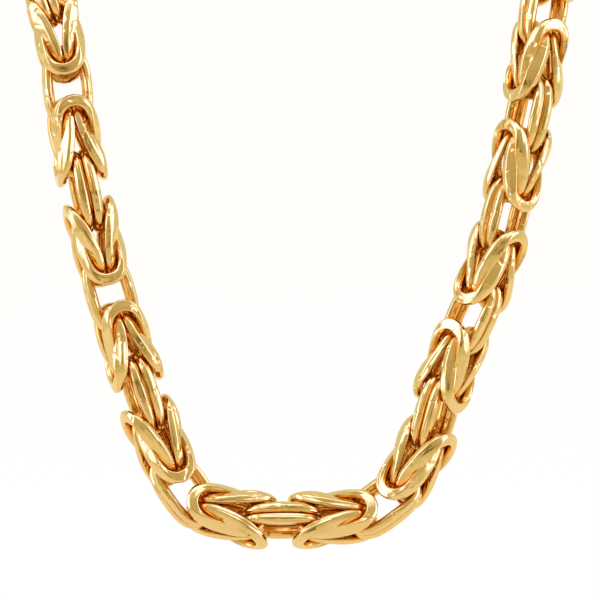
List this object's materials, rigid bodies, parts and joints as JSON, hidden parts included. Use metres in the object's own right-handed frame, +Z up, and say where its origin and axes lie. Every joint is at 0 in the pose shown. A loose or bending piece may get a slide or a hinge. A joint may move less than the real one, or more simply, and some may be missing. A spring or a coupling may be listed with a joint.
{
  "type": "byzantine chain necklace",
  "caption": "Closed loop of square byzantine chain in polished yellow gold, its oval links interlocked in alternating pairs and folded knots, worn round the neck and closed by a plain clasp.",
  "frame": {"origin": "middle of the centre line at the nape, where the necklace sits on the back of the neck", "axes": "+Z up, -Y toward the wearer's front, +X toward the right of a viewer who faces the wearer"},
  "size_m": [0.1204, 0.1268, 0.1753],
  "materials": {
    "gold": "polished"
  },
  "bodies": {
    "root": {"chain_left": "gold", "chain_right": "gold", "clasp": "gold"}
  },
  "joints": []
}
